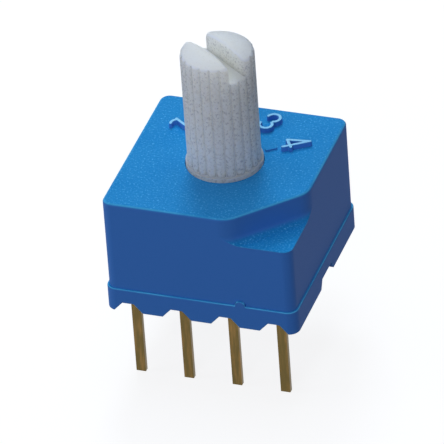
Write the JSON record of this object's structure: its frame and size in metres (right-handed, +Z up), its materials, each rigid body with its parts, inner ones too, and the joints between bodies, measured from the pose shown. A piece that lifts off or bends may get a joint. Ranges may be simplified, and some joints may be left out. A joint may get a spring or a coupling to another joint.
{
  "type": "rotary dip switch",
  "caption": "Small square rotary DIP switch with a fluted, slotted shaft on top, a notched index corner, raised position numbers and rows of straight board leads.",
  "frame": {"origin": "centre of the body in plan, in the plane of the lead tips", "axes": "+Z up along the shaft's axis, +X along the rows of leads to the right, -Y towards the front row and the notched corner's front face"},
  "size_m": [0.01, 0.01, 0.0176],
  "materials": {
    "housing_blue": "satin moulded thermoplastic with a fine grain",
    "base_blue": "satin moulded thermoplastic",
    "shaft_white": "matt moulded nylon",
    "rotor_black": "moulded acetal",
    "contact_bronze": "stamped phosphor bronze",
    "spring_steel": "rolled stainless strip",
    "washer_steel": "stamped stainless sheet",
    "seal_rubber": "moulded nitrile",
    "lead_brass": "stamped brass, dull"
  },
  "bodies": {
    "body": {"housing": "housing_blue", "base": "base_blue", "terminal_front_1": "lead_brass", "terminal_front_2": "lead_brass", "terminal_front_3": "lead_brass", "terminal_front_4": "lead_brass", "terminal_common": "lead_brass", "detent_spring_left": "spring_steel", "detent_spring_right": "spring_steel", "shaft_seal": "seal_rubber", "thrust_washer": "washer_steel"},
    "rotor": {"shaft": "shaft_white", "detent_rotor": "rotor_black", "contact_wiper": "contact_bronze"}
  },
  "joints": [
    {"name": "rotor_turn", "type": "hinge", "parent": "body", "child": "rotor", "pos_m": [0, 0, 0.0108], "axis": [0, 0, 1], "range_deg": [-108, 0], "deforming": ["detent_spring_left", "detent_spring_right"]}
  ]
}
